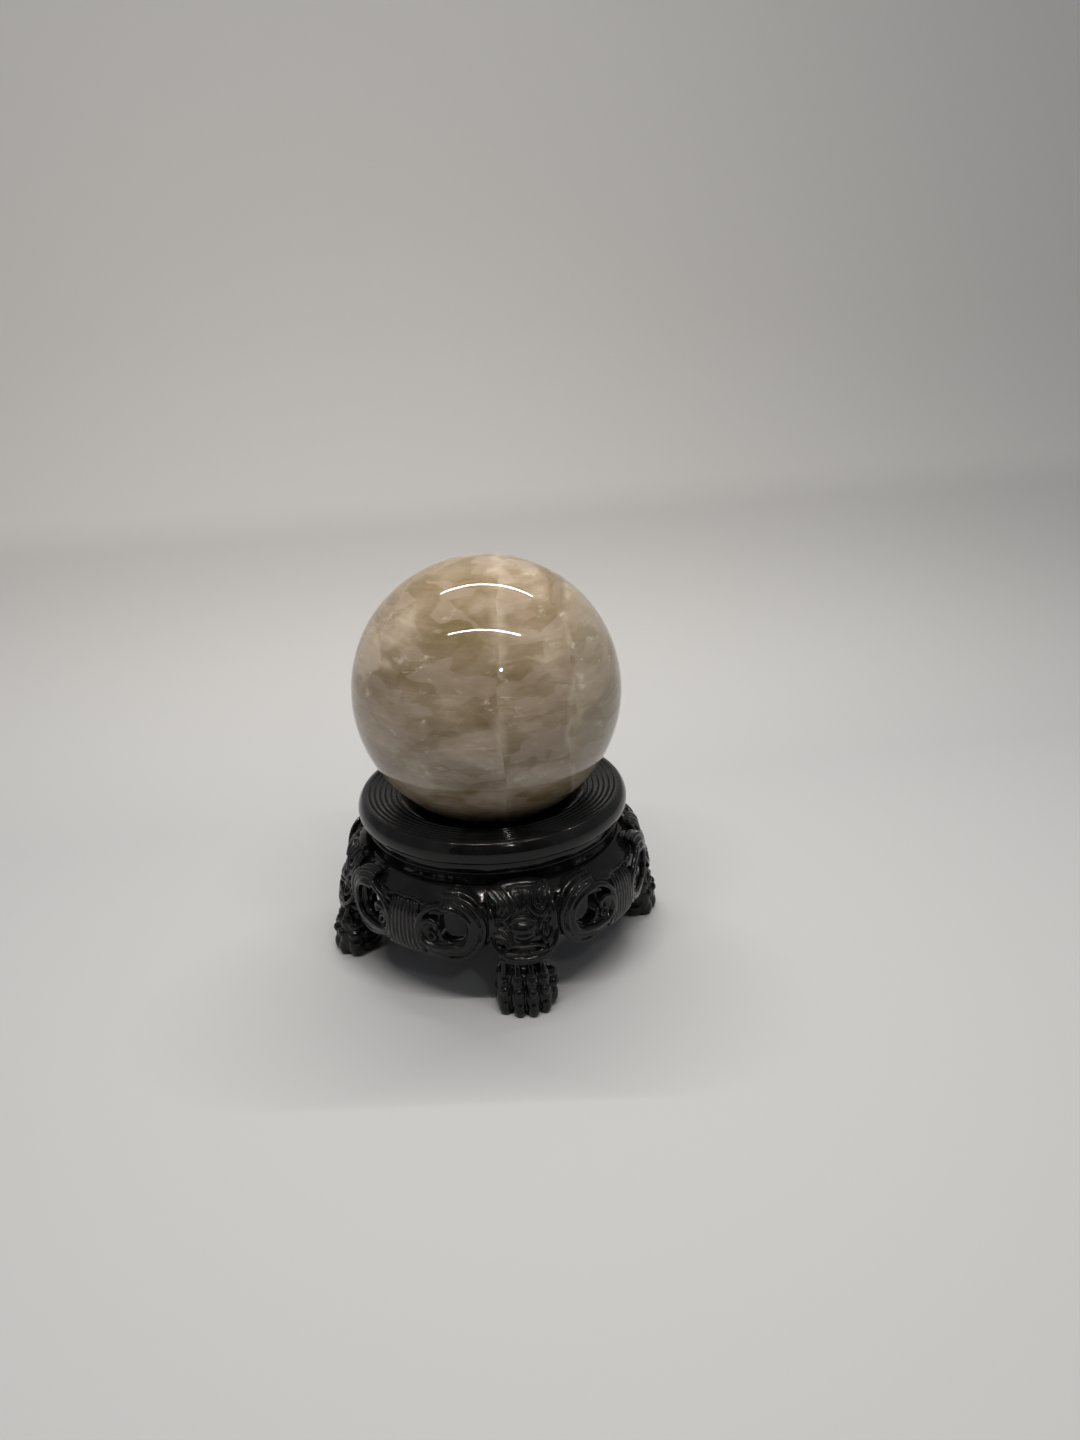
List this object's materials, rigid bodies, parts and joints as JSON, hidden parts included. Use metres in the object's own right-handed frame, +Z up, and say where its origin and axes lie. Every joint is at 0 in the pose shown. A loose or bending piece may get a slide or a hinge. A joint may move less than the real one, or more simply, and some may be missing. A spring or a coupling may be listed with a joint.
{
  "type": "crystal ball",
  "caption": "Polished cloudy stone ball lying loose in a gloss black carved stand with a grooved dish, pierced scroll aprons, beast masks and paw feet.",
  "frame": {"origin": "on the floor, under the centre of the ball", "axes": "+Z up through the ball; the legs point along -Y (front), +X, +Y and -X"},
  "size_m": [0.0998, 0.0998, 0.1131],
  "materials": {
    "stone": "polished, cloudy grey-beige",
    "lacquer": "gloss black lacquer",
    "dowel": "raw hardwood"
  },
  "bodies": {
    "stand": {"dish": "lacquer", "collar": "lacquer", "leg_front": "lacquer", "leg_right": "lacquer", "leg_back": "lacquer", "leg_left": "lacquer", "apron_front_right": "lacquer", "apron_back_right": "lacquer", "apron_back_left": "lacquer", "apron_front_left": "lacquer", "leg_pegs": "dowel", "apron_pegs": "dowel"},
    "ball": {"ball": "stone"}
  },
  "joints": [
    {"name": "ball_lift", "type": "slide", "parent": "stand", "child": "ball", "axis": [0, 0, 1], "range_m": [0, 0.06]}
  ]
}
